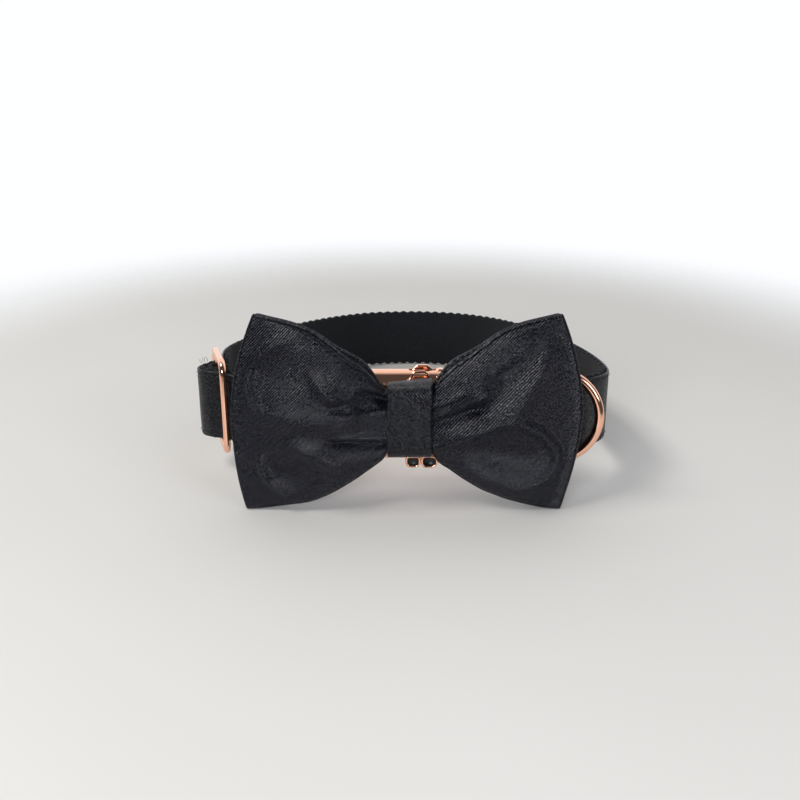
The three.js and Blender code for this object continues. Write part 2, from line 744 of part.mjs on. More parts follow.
// The collar leans back until the bow's lower corners and the far strap edge are level.
const cornerDrop = bowHalfHeight - bowRise - strapWidth / 2;
const farFace = ringDepth + webbing / 2;
collar.rotation.x = -Math.atan2(cornerDrop, farFace - frontLayer.backY);

const part = new THREE.Group();
part.add(collar);
part.updateMatrixWorld(true);
const bounds = new THREE.Box3().setFromObject(part, true);
const middle = bounds.getCenter(new THREE.Vector3());
collar.position.set(-middle.x, -middle.y, -bounds.min.z);

export default part;
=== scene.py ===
# Pet bow tie collar: a black webbing collar with a satin face, rose gold fittings and a satin bow.
#
# Shapes are drawn in millimetres in the collar's own frame, where x runs along the buckle, y goes
# from the bow to the far side of the strap and z is across the strap. placed() leans that frame
# back as the collar lies, and turns it to metres.

import math

import bmesh
import bpy
import numpy as np
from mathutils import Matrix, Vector


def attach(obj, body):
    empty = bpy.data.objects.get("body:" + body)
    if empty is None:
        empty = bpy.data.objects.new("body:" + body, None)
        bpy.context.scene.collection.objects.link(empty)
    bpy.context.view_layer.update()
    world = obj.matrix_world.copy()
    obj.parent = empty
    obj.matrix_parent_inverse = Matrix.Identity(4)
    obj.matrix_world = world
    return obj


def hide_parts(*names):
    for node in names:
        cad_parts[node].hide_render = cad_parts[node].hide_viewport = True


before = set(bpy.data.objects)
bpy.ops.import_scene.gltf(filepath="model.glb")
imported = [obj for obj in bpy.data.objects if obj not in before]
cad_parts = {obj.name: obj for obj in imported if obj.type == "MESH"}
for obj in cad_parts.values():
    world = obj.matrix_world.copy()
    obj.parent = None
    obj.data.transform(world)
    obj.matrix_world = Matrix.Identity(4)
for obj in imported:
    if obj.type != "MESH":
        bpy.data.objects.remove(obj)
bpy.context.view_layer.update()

MM = 0.001
LEAN = math.atan2(15.5, 129.7)  # the collar leans back onto its far strap edge
ORIGIN = np.array([1.3048, -51.0657, 26.5088])  # the buckle's centre, from the footprint's centre

PHOTO = 800  # pixels each way
FOCAL = 800  # pixels
TILT_DOWN = 23.5
CAMERA = (-0.9, -289.2, 135.0)  # millimetres


def placed(points):
    """Collar millimetres to metres on the table."""
    points = np.asarray(points, float)
    x, y, z = points[..., 0], points[..., 1], points[..., 2]
    back = y * math.cos(LEAN) + z * math.sin(LEAN)
    up = z * math.cos(LEAN) - y * math.sin(LEAN)
    return (np.stack([x, back, up], -1) + ORIGIN) * MM


def unplaced(points):
    """Metres on the table back to collar millimetres."""
    moved = np.asarray(points, float) / MM - ORIGIN
    x, y, z = moved[..., 0], moved[..., 1], moved[..., 2]
    back = y * math.cos(LEAN) - z * math.sin(LEAN)
    up = z * math.cos(LEAN) + y * math.sin(LEAN)
    return np.stack([x, back, up], -1)


# Camera, light and floor


def make_camera():
    lens = bpy.data.cameras.new("camera")
    lens.sensor_width = 36
    lens.lens = 36 * FOCAL / PHOTO
    lens.clip_start = 0.01
    camera = bpy.data.objects.new("camera", lens)
    camera.location = Vector(CAMERA) * MM
    camera.rotation_euler = (math.radians(90 - TILT_DOWN), 0, 0)
    bpy.context.scene.collection.objects.link(camera)
    bpy.context.scene.camera = camera


def make_light(name, place, aim, size, power, colour):
    lamp = bpy.data.lights.new(name, "AREA")
    lamp.shape = "RECTANGLE"
    lamp.size, lamp.size_y = size
    lamp.energy = power
    lamp.color = linear(colour)[:3]
    light = bpy.data.objects.new(name, lamp)
    light.location = place
    direction = Vector(aim) - Vector(place)
    light.rotation_euler = direction.to_track_quat("-Z", "Y").to_euler()
    bpy.context.scene.collection.objects.link(light)


def make_studio():
    """White walls behind the table, and a dim room behind the camera."""
    world = bpy.data.worlds.new("studio")
    world.use_nodes = True
    tree = world.node_tree
    spot = add(tree, "ShaderNodeTexCoord").outputs["Generated"]
    split = add(tree, "ShaderNodeSeparateXYZ", {"Vector": spot})
    strength = add(tree, "ShaderNodeMapRange", {"Value": split.outputs["Y"], "From Min": -0.1,
                                                "From Max": 0.55, "To Min": 0.08, "To Max": 1.08},
                   interpolation_type="SMOOTHSTEP")
    background = tree.nodes["Background"]
    background.inputs["Color"].default_value = linear("#F6F8FB")
    tree.links.new(strength.outputs[0], background.inputs["Strength"])
    bpy.context.scene.world = world


def linear(colour):
    """An sRGB hex colour as linear red, green, blue and alpha."""
    parts = [int(colour[i : i + 2], 16) / 255 for i in (1, 3, 5)]
    curve = [c / 12.92 if c <= 0.04045 else ((c + 0.055) / 1.055) ** 2.4 for c in parts]
    return (*curve, 1.0)


# Materials
#
# A colour mix node has its two colours on sockets 6 and 7 and its result on output 2.


def new_material(name):
    material = bpy.data.materials.new(name)
    material.use_nodes = True
    tree = material.node_tree
    shader = tree.nodes["Principled BSDF"]
    return material, tree, shader


def add(tree, kind, inputs=None, **settings):
    """Adds a node; an input is another node's output, or else a plain value."""
    node = tree.nodes.new(kind)
    for key, value in settings.items():
        setattr(node, key, value)
    for key, value in (inputs or {}).items():
        if isinstance(value, bpy.types.NodeSocket):
            tree.links.new(value, node.inputs[key])
        else:
            node.inputs[key].default_value = value
    return node


def cloth_place(tree):
    """Where a point is on the flat cloth, in millimetres along and across."""
    spot = add(tree, "ShaderNodeUVMap", uv_map="cloth").outputs["UV"]
    split = add(tree, "ShaderNodeSeparateXYZ", {"Vector": spot})
    return spot, split.outputs["X"], split.outputs["Y"]


def wave(tree, along, pitch):
    """A smooth wave from 0 to 1 with one crest in each pitch."""
    turned = add(tree, "ShaderNodeMath", {0: along, 1: 2 * math.pi / pitch}, operation="MULTIPLY")
    crest = add(tree, "ShaderNodeMath", {0: turned.outputs[0]}, operation="SINE")
    half = add(tree, "ShaderNodeMath", {0: crest.outputs[0], 1: 0.5, 2: 0.5},
               operation="MULTIPLY_ADD")
    return half.outputs[0]


FLOAT_PITCH = 0.62  # across the twill's floats; the real 0.55 mm wouldn't show


def satin(name, shade, lit):
    """Polyester satin twill, calendered: fine floats at 45 degrees with a soft, broken sheen."""
    material, tree, shader = new_material(name)
    spot, along, across = cloth_place(tree)
    drift = add(tree, "ShaderNodeTexNoise", {"Vector": spot, "Scale": 0.35, "Detail": 2.0})
    wander = add(tree, "ShaderNodeMath", {0: drift.outputs[0], 1: 0.5, 2: along},
                 operation="MULTIPLY_ADD")
    lean = add(tree, "ShaderNodeMath", {0: wander.outputs[0], 1: across}, operation="SUBTRACT")
    floats = wave(tree, lean.outputs[0], FLOAT_PITCH * math.sqrt(2))
    broken = add(tree, "ShaderNodeTexNoise", {"Vector": spot, "Scale": 1.6, "Detail": 3.0,
                                              "Roughness": 0.7})
    slubs = add(tree, "ShaderNodeTexNoise", {"Vector": spot, "Scale": 0.22, "Detail": 3.0,
                                             "Distortion": 0.6})
    # The floats, and a speckle of glints on them, are painted lighter, from the shade colour to the
    # lit one. This is a painted sheen and painted glints on top of the real gloss.
    glint_speckle = add(tree, "ShaderNodeMapRange", {"Value": broken.outputs[0], "From Min": 0.4,
                                             "From Max": 0.66})
    share = add(tree, "ShaderNodeMath", {0: floats, 1: glint_speckle.outputs[0]}, operation="MULTIPLY")
    colour = add(tree, "ShaderNodeMix", {0: share.outputs[0], 6: linear(shade), 7: linear(lit)},
                 data_type="RGBA")
    tree.links.new(colour.outputs[2], shader.inputs["Base Color"])
    rough = add(tree, "ShaderNodeMapRange", {"Value": slubs.outputs[0], "From Min": 0.3,
                                             "From Max": 0.7, "To Min": 0.25, "To Max": 0.37})
    tree.links.new(rough.outputs[0], shader.inputs["Roughness"])
    cords = add(tree, "ShaderNodeMath", {0: broken.outputs[0], 1: floats}, operation="ADD")
    weave = add(tree, "ShaderNodeBump", {"Height": cords.outputs[0], "Strength": 0.6,
                                         "Distance": 0.2 * MM})
    ripple = add(tree, "ShaderNodeBump", {"Height": slubs.outputs[0], "Strength": 0.5,
                                          "Distance": 0.9 * MM, "Normal": weave.outputs[0]})
    tree.links.new(ripple.outputs[0], shader.inputs["Normal"])
    shader.inputs["IOR"].default_value = 1.6
    gloss = add(tree, "ShaderNodeMapRange", {"Value": share.outputs[0], "To Min": 0.06,
                                             "To Max": 1.0})
    tree.links.new(gloss.outputs[0], shader.inputs["Specular IOR Level"])
    shader.inputs["Sheen Weight"].default_value = 0.04
    shader.inputs["Sheen Roughness"].default_value = 0.35
    shader.inputs["Sheen Tint"].default_value = linear("#C8CCE0")
    return material


def woven_webbing():
    """Polyester webbing, needle woven and piece dyed: thick warp cords over ribs, matt and deep."""
    material, tree, shader = new_material("woven_webbing")
    spot, along, across = cloth_place(tree)
    ribs = wave(tree, along, 1.5)
    cords = wave(tree, across, 1.3)
    check = add(tree, "ShaderNodeMath", {0: ribs, 1: cords}, operation="SUBTRACT")
    height = add(tree, "ShaderNodeMath", {0: check.outputs[0]}, operation="ABSOLUTE")
    fuzz = add(tree, "ShaderNodeTexNoise", {"Vector": spot, "Scale": 2.2, "Detail": 3.0})
    # The weave's crests are painted lighter and its hollows darker. This is painted shade in the
    # hollows and a painted highlight on the crests.
    colour = add(tree, "ShaderNodeMix", {0: height.outputs[0], 6: linear("#07090C"),
                                         7: linear("#161A21")}, data_type="RGBA")
    tree.links.new(colour.outputs[2], shader.inputs["Base Color"])
    body = add(tree, "ShaderNodeMath", {0: fuzz.outputs[0], 1: 0.5, 2: height.outputs[0]},
               operation="MULTIPLY_ADD")
    bump = add(tree, "ShaderNodeBump", {"Height": body.outputs[0], "Strength": 0.7,
                                        "Distance": 0.35 * MM})
    tree.links.new(bump.outputs[0], shader.inputs["Normal"])
    shader.inputs["Roughness"].default_value = 0.85
    shader.inputs["IOR"].default_value = 1.55
    shader.inputs["Specular IOR Level"].default_value = 0.3
    shader.inputs["Sheen Weight"].default_value = 0.05
    shader.inputs["Sheen Roughness"].default_value = 0.5
    return material


def knitted_elastic():
    """Knitted elastic: rubber cores under polyester, in fine cords along the band."""
    material, tree, shader = new_material("knitted_elastic")
    _, along, across = cloth_place(tree)
    cords = wave(tree, across, 0.9)
    stitches = wave(tree, along, 0.7)
    height = add(tree, "ShaderNodeMath", {0: stitches, 1: 0.35, 2: cords}, operation="MULTIPLY_ADD")
    # The cords are painted lighter than the gaps between them, which is painted shade between the
    # cords.
    colour = add(tree, "ShaderNodeMix", {0: cords, 6: linear("#0D0D10"), 7: linear("#222329")},
                 data_type="RGBA")
    tree.links.new(colour.outputs[2], shader.inputs["Base Color"])
    bump = add(tree, "ShaderNodeBump", {"Height": height.outputs[0], "Strength": 0.7,
                                        "Distance": 0.25 * MM})
    tree.links.new(bump.outputs[0], shader.inputs["Normal"])
    shader.inputs["Roughness"].default_value = 0.8
    shader.inputs["Specular IOR Level"].default_value = 0.35
    return material


def sewing_thread():
    """Spun polyester thread: two twisted plies, a little brighter than the cloth."""
    material, tree, shader = new_material("sewing_thread")
    _, along, across = cloth_place(tree)
    lean = add(tree, "ShaderNodeMath", {0: along, 1: across}, operation="ADD")
    plies = wave(tree, lean.outputs[0], 0.5)
    # The plies' crests are painted lighter than the twist between them, which is painted shade
    # between the plies.
    colour = add(tree, "ShaderNodeMix", {0: plies, 6: linear("#15161A"), 7: linear("#2C2E36")},
                 data_type="RGBA")
    tree.links.new(colour.outputs[2], shader.inputs["Base Color"])
    bump = add(tree, "ShaderNodeBump", {"Height": plies, "Strength": 0.6, "Distance": 0.1 * MM})
    tree.links.new(bump.outputs[0], shader.inputs["Normal"])
    shader.inputs["Roughness"].default_value = 0.55
    return material


def rose_gold():
    """Zinc casting, polished and plated in rose gold: bright, with soft waves and fine wear."""
    material, tree, shader = new_material("rose_gold")
    spot = add(tree, "ShaderNodeTexCoord").outputs["Object"]
    waves = add(tree, "ShaderNodeTexNoise", {"Vector": spot, "Scale": 160.0, "Detail": 1.0})
    scuffs = add(tree, "ShaderNodeTexNoise", {"Vector": spot, "Scale": 900.0, "Detail": 4.0,
                                              "Roughness": 0.75})
    worn = add(tree, "ShaderNodeMapRange", {"Value": scuffs.outputs[0], "From Min": 0.55,
                                            "From Max": 0.75})
    colour = add(tree, "ShaderNodeMix", {0: worn.outputs[0], 6: linear("#FFC5A7"),
                                         7: linear("#F7B596")}, data_type="RGBA")
    tree.links.new(colour.outputs[2], shader.inputs["Base Color"])
    rough = add(tree, "ShaderNodeMapRange", {"Value": worn.outputs[0], "To Min": 0.07,
                                             "To Max": 0.17})
    tree.links.new(rough.outputs[0], shader.inputs["Roughness"])
    bump = add(tree, "ShaderNodeBump", {"Height": waves.outputs[0], "Strength": 0.1,
                                        "Distance": 0.6 * MM})
    tree.links.new(bump.outputs[0], shader.inputs["Normal"])
    shader.inputs["Metallic"].default_value = 1.0
    return material


def plain(name, colour, roughness):
    """A material of one colour, a little uneven in its gloss."""
    material, tree, shader = new_material(name)
    spot = add(tree, "ShaderNodeTexCoord").outputs["Object"]
    cloud = add(tree, "ShaderNodeTexNoise", {"Vector": spot, "Scale": 700.0, "Detail": 2.0})
    gloss = add(tree, "ShaderNodeMapRange", {"Value": cloud.outputs[0], "To Min": roughness - 0.08,
                                             "To Max": roughness + 0.08})
    tree.links.new(gloss.outputs[0], shader.inputs["Roughness"])
    shader.inputs["Base Color"].default_value = linear(colour)
    return material


def black_fill():
    """A black, half glossy plate in the centres of the release's beads, where they look dark."""
    return plain("black_fill", "#0A090A", 0.4)


def wisp_matt():
    """Thin greyish white strands at the strap's upper edge, matt."""
    return plain("wisp_matt", "#B9B8B6", 0.8)


def pale_floor():
    """Smooth painted board, off-white and matt, that fades out far from the collar."""
    material, tree, shader = new_material("pale_floor")
    spot = add(tree, "ShaderNodeTexCoord").outputs["Object"]
    cloud = add(tree, "ShaderNodeTexNoise", {"Vector": spot, "Scale": 6.0, "Detail": 2.0})
    colour = add(tree, "ShaderNodeMix", {0: cloud.outputs[0], 6: linear("#D9D6D1"),
                                         7: linear("#E3E1DD")}, data_type="RGBA")
    tree.links.new(colour.outputs[2], shader.inputs["Base Color"])
    shader.inputs["Roughness"].default_value = 0.75
    away = add(tree, "ShaderNodeVectorMath", {0: spot}, operation="LENGTH")
    fade = add(tree, "ShaderNodeMapRange", {"Value": away.outputs["Value"], "From Min": 0.19,
                                            "From Max": 0.36}, interpolation_type="SMOOTHSTEP")
    clear = add(tree, "ShaderNodeBsdfTransparent")
    blend = add(tree, "ShaderNodeMixShader", {0: fade.outputs[0], 1: shader.outputs[0],
                                              2: clear.outputs[0]})
    tree.links.new(blend.outputs[0], tree.nodes["Material Output"].inputs["Surface"])
    return material


def make_floor():
    mesh = bpy.data.meshes.new("floor")
    mesh.from_pydata([(-6, -6, 0), (6, -6, 0), (6, 6, 0), (-6, 6, 0)], [], [(0, 1, 2, 3)])
    mesh.materials.append(pale_floor())
    floor = bpy.data.objects.new("floor", mesh)
    bpy.context.scene.collection.objects.link(floor)


# Meshes


def make_piece(name, points, faces, cloth, material, body="collar"):
    """A smooth mesh of collar points, with the place of each on the flat cloth in millimetres."""
    mesh = bpy.data.meshes.new(name)
    mesh.from_pydata(placed(points).tolist(), [], [list(map(int, face)) for face in faces])
    corners = np.empty(len(mesh.loops), np.int64)
    mesh.loops.foreach_get("vertex_index", corners)
    layer = mesh.uv_layers.new(name="cloth")
    layer.data.foreach_set("uv", np.asarray(cloth, np.float32)[corners].ravel())
    mesh.polygons.foreach_set("use_smooth", [True] * len(mesh.polygons))
    mesh.materials.append(material)
    mesh.validate()
    piece = bpy.data.objects.new(name, mesh)
    bpy.context.scene.collection.objects.link(piece)
    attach(piece, body)
    return piece


def grid_faces(rows, columns, wrap_rows=False, wrap_columns=False, start=0, flip=False):
    """Quads over rows and columns of points."""
    i = np.arange(rows if wrap_rows else rows - 1)
    j = np.arange(columns if wrap_columns else columns - 1)
    i, j = (part.ravel() for part in np.meshgrid(i, j, indexing="ij"))
    down, right = (i + 1) % rows, (j + 1) % columns
    quad = [i * columns + j, i * columns + right, down * columns + right, down * columns + j]
    quads = np.stack(quad, 1) + start
    return quads[:, ::-1] if flip else quads


def run_length(line):
    """How far along the line each of its points is."""
    return np.concatenate([[0], np.cumsum(np.linalg.norm(np.diff(line, axis=0), axis=1))])


def curve_at(keys, values, slope, at):
    """Values on a smooth curve, from the values and slopes at its keys."""
    i = np.clip(np.searchsorted(keys, at, side="right") - 1, 0, len(keys) - 2)
    width = keys[i + 1] - keys[i]
    t = np.clip((at - keys[i]) / width, 0, 1)
    if values.ndim > 1:
        width, t = width[:, None], t[:, None]
    s = t * t * (3 - 2 * t)
    bend = t * (1 - t) ** 2 * width * slope[i] - t * t * (1 - t) * width * slope[i + 1]
    return values[i] * (1 - s) + values[i + 1] * s + bend


def smooth_line(points, step, closed=False):
    """A smooth curve through the points, in even steps."""
    points = np.asarray(points, float)
    if closed:
        points = np.concatenate([points[-3:], points, points[:3]])
    length = run_length(points)
    slope = np.gradient(points, length, axis=0)
    first, last = (length[3], length[-3]) if closed else (0, length[-1])
    count = max(int(round((last - first) / step)), 3)
    at = np.linspace(first, last, count + 1)
    return curve_at(length, points, slope, at[:-1] if closed else at)


def directions(line, closed=False):
    """The line's unit heading at each of its points."""
    if closed:
        step = np.roll(line, -1, axis=0) - np.roll(line, 1, axis=0)
    else:
        step = np.gradient(line, axis=0)
    return step / np.linalg.norm(step, axis=1)[:, None]


def band_section(half_thickness, half_width, edge, across_count):
    """The loop round a band's section, as steps out of its middle and across it."""
    flat = np.linspace(-(half_width - edge), half_width - edge, across_count)
    turn = np.linspace(0, math.pi, 7)[1:-1]
    rim_out = half_thickness * np.cos(turn)
    rim_across = half_width - edge + edge * np.sin(turn)
    out = np.concatenate([np.full(across_count, half_thickness), rim_out,
                          np.full(across_count, -half_thickness), rim_out[::-1]])
    across = np.concatenate([flat, rim_across, flat[::-1], -rim_across])
    return out, across


def sweep_band(line, out, across, closed=False):
    """A band along a line in a plane: out is to the right of the line, across is out of the plane.

    out and across are one loop of the section, or one loop for each point of the line.
    """
    count = len(line)
    out = np.broadcast_to(out, (count, np.shape(out)[-1]))
    across = np.broadcast_to(across, out.shape)
    along = directions(line, closed)
    x = line[:, :1] + out * along[:, 1:]
    y = line[:, 1:] - out * along[:, :1]
    points = np.stack([x, y, across], -1)
    size = out.shape[1]
    faces = list(grid_faces(count, size, wrap_rows=closed, wrap_columns=True))
    if not closed:
        faces.append(np.arange(size)[::-1])
        faces.append(np.arange(size) + (count - 1) * size)
    cloth = np.stack([np.repeat(run_length(line)[:, None], size, 1), across], -1)
    return points.reshape(-1, 3), faces, cloth.reshape(-1, 2)


# Strap

WEBBING = 1.6  # thickness
STRAP_HALF = 12.5  # half the webbing's width
SELVEDGE = 1.3  # the edge that the weft's turns shape
SCALLOP = 3.7  # along the selvedge, from one turn of the weft to the next
SCALLOP_DEPTH = 0.8

FACING = 1.0  # thickness
FACING_HALF = 12.1  # half the width of the solid
FACING_SEWN_HALF = 11.7  # turned in a little, so the webbing's picot edge stands clear of it

STITCH_ROW = 10.2  # from the strap's middle to each row of stitches
STITCH_PITCH = 2.9
STITCH_LENGTH = 2.3
STITCH_DENT = 0.3
THREAD = 0.17  # half the thread's thickness


def strap_line(node, half_width, thickness):
    """The middle line of a strap solid, from the loop of edges round its upper side."""
    mesh = bmesh.new()
    mesh.from_mesh(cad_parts[node].data)
    bmesh.ops.remove_doubles(mesh, verts=mesh.verts, dist=1e-6)
    spots = unplaced([v.co for v in mesh.verts])
    upper = [spot[2] > half_width - 0.01 for spot in spots]
    beside = {}
    for edge in mesh.edges:
        a, b = (v.index for v in edge.verts)
        caps = sum(all(upper[v.index] for v in face.verts) for face in edge.link_faces)
        if upper[a] and upper[b] and caps == 1:
            beside.setdefault(a, []).append(b)
            beside.setdefault(b, []).append(a)
    mesh.free()
    loop = [next(iter(beside))]
    loop.append(beside[loop[0]][0])
    while len(loop) < len(beside):
        a, b = beside[loop[-1]]
        loop.append(b if a == loop[-2] else a)
    ring = spots[loop][:, :2]
    step = np.roll(ring, -1, axis=0) - ring
    long = np.linalg.norm(step, axis=1)
    heading = step / long[:, None]
    before = np.abs(np.sum(heading * np.roll(heading, 1, axis=0), 1))
    after = np.abs(np.sum(heading * np.roll(heading, -1, axis=0), 1))
    ends = np.where((np.abs(long - thickness) < 0.05) & (before < 0.1) & (after < 0.1))[0]
    ring = np.roll(ring, -(ends[0] + 1), axis=0)
    half = len(ring) // 2
    return (ring[:half] + ring[::-1][:half]) / 2


def from_right(line):
    """The line, starting at its right-hand end."""
    return line if line[0, 0] > line[-1, 0] else line[::-1]


def make_webbing(material):
    """The webbing along its whole route, with the picot edge that the weft's turns give it."""
    line = smooth_line(from_right(strap_line("webbing_strap", STRAP_HALF, WEBBING)), 0.46)
    out, across = band_section(WEBBING / 2, STRAP_HALF, 0.75, 17)
    run = run_length(line)[:, None]
    bite = SCALLOP_DEPTH * (np.abs(np.sin(math.pi * run / SCALLOP)) - 1)
    edge = np.clip((np.abs(across) - (STRAP_HALF - SELVEDGE)) / SELVEDGE, 0, 1)
    across = across + np.sign(across) * bite * edge
    points, faces, cloth = sweep_band(line, out, across)
    strap = make_piece("strap", points, faces, cloth, material)
    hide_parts("webbing_strap")


def make_facing(material):
    """The satin on the strap's outer face, a little slack between the stitches that pull it in."""
    line = smooth_line(from_right(strap_line("satin_facing", FACING_HALF, FACING)), 0.7)
    out, across = band_section(FACING / 2, FACING_SEWN_HALF, 0.5, 33)
    groove = np.exp(-(((np.abs(across) - STITCH_ROW) / 0.5) ** 2))
    run = run_length(line)[:, None]
    pull = 0.75 + 0.25 * np.cos(2 * math.pi * run / STITCH_PITCH)
    belly = 0.06 * np.sin(run * 0.31 + across * 0.22) + 0.05 * np.sin(run * 0.113 - across * 0.35)
    outer_face = out > 0.3
    out = out - outer_face * (STITCH_DENT * groove * pull + 0.06 - belly)
    points, faces, cloth = sweep_band(line, out, across)
    facing = make_piece("strap_face", points, faces, cloth, material)
    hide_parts("satin_facing")
    return line


def make_stitches(line, material):
    """Two rows of stitches on the facing: each a short bowed thread that dips in at both ends."""
    run = run_length(line)
    along = directions(line)
    sides, rings = 6, 5
    share = np.linspace(-1, 1, rings)
    rise = FACING / 2 + 0.02 + 0.12 * (1 - share**4) - 0.1
    radius = THREAD * np.sqrt(1.05 - share**2 * 0.85)
    points, faces, cloth = [], [], []
    for row in (-STITCH_ROW, STITCH_ROW):
        for start in np.arange(1.5, run[-1] - STITCH_PITCH, STITCH_PITCH):
            at = start + (share + 1) / 2 * STITCH_LENGTH
            x = np.interp(at, run, line[:, 0])
            y = np.interp(at, run, line[:, 1])
            ax = np.interp(at, run, along[:, 0])
            ay = np.interp(at, run, along[:, 1])
            for k in range(rings):
                for side in range(sides):
                    turn = 2 * math.pi * side / sides
                    out = rise[k] + radius[k] * math.cos(turn)
                    z = row + radius[k] * math.sin(turn)
                    points.append((x[k] + out * ay[k], y[k] - out * ax[k], z))
                    cloth.append((at[k], radius[k] * turn))
            first = len(points) - rings * sides
            faces.extend(grid_faces(rings, sides, wrap_columns=True, start=first))
            faces.append(np.arange(sides)[::-1] + first)
            faces.append(np.arange(sides) + first + (rings - 1) * sides)
    stitches = make_piece("face_stitches", np.array(points), faces, cloth, material)


# Bow

BOW_LENGTH = 54.8  # half its length
BOW_HEIGHT = 31.0  # half its height
BOW_RISE = 3.0  # from the strap's middle up to the bow's
PLY_EDGE = 1.9  # a pouch's thickness at its edge
EDGE_PLANE = -10.9  # where the two pouches meet
LAYER_GAP = 0.3  # half the gap between them
RIM = 0.6  # how far the turned edges round over

KNOT_HALF = 7.0  # half the band's width
KNOT_PLY = 1.3  # the folded band's thickness
KNOT_X = 0.8
KNOT_FRONT, KNOT_BACK = -16.4, -6.0
KNOT_TOP, KNOT_BOTTOM = 11.2, 13.4  # from the bow's middle
KNOT_CORNER = 3.9

KEEPER_HALF = 3.25  # half the elastic's width
KEEPER_PLY = 1.0
KEEPER_X = 37.25

# The wing's edges, from the knot to the outer edge, as shares of the bow's half height.
wing_edges = np.array([
    # reach, top, bottom on the left, bottom on the right
    (0.0, 0.26, 0.355, 0.355), (0.115, 0.26, 0.37, 0.36), (0.145, 0.27, 0.455, 0.37),
    (0.185, 0.37, 0.515, 0.48), (0.25, 0.495, 0.6, 0.56), (0.33, 0.59, 0.7, 0.66),
    (0.45, 0.742, 0.825, 0.785), (0.53, 0.84, 0.888, 0.84), (0.6, 0.9, 0.925, 0.885),
    (0.7, 0.955, 0.95, 0.93), (0.8, 0.99, 0.97, 0.965), (0.9, 1.018, 0.99, 0.99),
    (1.0, 1.045, 1.0, 1.0),
])

# How far the outer corners draw in, as shares of the bow's half length, and how sharply.
wing_corners = {
    -1: {"top": 0.151, "top_curve": 1.75, "bottom": 0.057, "bottom_curve": 2.6},
    1: {"top": 0.146, "top_curve": 1.75, "bottom": 0.099, "bottom_curve": 1.6},
}

# Broad folds and dents of the front, as shares of the half length and half height; lean is in
# degrees, and rise times FOLD_GAIN is a share of the belly.
FOLD_GAIN = 1.5
front_folds = [
    # side, reach, height, along, across, lean, rise
    (-1, 0.63, 0.48, 0.2, 0.125, -18, -0.42),
    (-1, 0.27, 0.17, 0.17, 0.032, -6, -0.3),
    (-1, 0.27, -0.03, 0.2, 0.07, -2, 0.25),
    (-1, 0.27, -0.25, 0.16, 0.026, 4, -0.3),
    (-1, 0.66, 0, 0.2, 0.06, 0, 0.2),
    (-1, 0.5, -0.38, 0.18, 0.045, 28, 0.22),
    (-1, 0.71, -0.57, 0.17, 0.1, 18, -0.36),
    (1, 0.62, 0.5, 0.2, 0.1, 35, -0.4),
    (1, 0.7, 0.27, 0.23, 0.042, 52, 0.22),
    (1, 0.34, 0.07, 0.2, 0.036, 22, -0.3),
    (1, 0.34, -0.13, 0.2, 0.036, 21, 0.26),
    (1, 0.56, -0.4, 0.21, 0.12, -14, -0.42),
]

# Crisp creases: how much the cloth stands out on the left and on the right of the line, before
# CREASE_GAIN, its width, and the line itself from the bow's middle, all in millimetres.
CREASE_GAIN = 3.0
front_creases = [
    (0.55, 0.55, 1.5, [(-30, 26), (-36.4, 24.8), (-44.1, 20.3), (-48.2, 15.1), (-48.8, 10.6),
                       (-46.8, 5.4), (-43.7, 0.2)]),
    (0.5, 0.5, 2.4, [(-30.7, 17.3), (-25.7, 9.9), (-19.7, 4.6), (-13.6, 3.5)]),
    (-0.6, -0.6, 1.6, [(-16, 9.0), (-11, 7.0), (-5, 5.0)]),
    (-0.3, 0.3, 2.6, [(-27, 3.0), (-19.0, 2.4), (-12, 2.8), (-5, 3.6)]),
    (0.4, -0.5, 2.6, [(-26, -6.0), (-18, -7.0), (-12, -7.4), (-5, -7.9)]),
    (0.4, 0.4, 2.6, [(-21, -8.0), (-27, -8.6), (-32.5, -10.6), (-42.1, -16.4)]),
    (0.45, 0.45, 1.3, [(-45.5, -9), (-46, -14.7), (-43.9, -20.5), (-36.2, -25.1)]),
    (0.35, -0.5, 2.2, [(5, 2.8), (8.2, 3.3), (12.8, 4.8), (19, 8.4)]),
    (0.45, 0.7, 2.6, [(23.2, -0.2), (31.5, 5.4), (37.3, 12.1), (41.2, 17.3), (42.2, 21)]),
    (0.25, 0.25, 1.0, [(38, 13.6), (39.7, 17.3), (41.4, 20.7), (49, 19.2)]),
    (-0.5, -0.5, 1.8, [(5, -3.4), (8.6, -2.3), (14.8, 0.2), (20.1, 2.4), (26.2, 3.9)]),
    (0.6, 0.6, 1.7, [(5, -10.2), (8.7, -9.7), (15.7, -7.3), (22.5, -3.1), (27.9, -0.5),
                     (35.6, -1.1), (42.7, -5.6), (46.9, -12.2), (44.9, -18.8), (36.5, -23.8)]),
]


def smoothstep(value, low, high):
    t = np.clip((value - low) / (high - low), 0, 1)
    return t * t * (3 - 2 * t)


def edge_share(reach, column):
    """The wing's edge at a reach, on a smooth curve through the table's rows."""
    keys, values = wing_edges[:, 0], wing_edges[:, column]
    slope = np.gradient(values, keys)
    slope[1:-1] = (values[2:] - values[:-2]) / (keys[2:] - keys[:-2])
    return curve_at(keys, values, slope, reach)


def wing_grid(side, reach, height, size, loft):
    """Places on a wing: reach from 0 at the knot to 1, height from -1 to 1.

    size is the pouch's share of the bow's size, and loft is how much fuller its top edge is near
    the knot.
    """
    corner = wing_corners[side]
    up = height > 0
    pull = np.where(up, corner["top"], corner["bottom"])
    curve = np.where(up, corner["top_curve"], corner["bottom_curve"])
    draw = pull * reach**3 * np.abs(height) ** curve
    top = edge_share(reach, 1) + loft * np.exp(-(((reach - 0.28) / 0.12) ** 2))
    edge = np.where(up, top, edge_share(reach, 2 if side < 0 else 3)) * BOW_HEIGHT
    x = side * (BOW_LENGTH - RIM) * (reach - draw)
    return x * size, height * (edge - RIM) * size


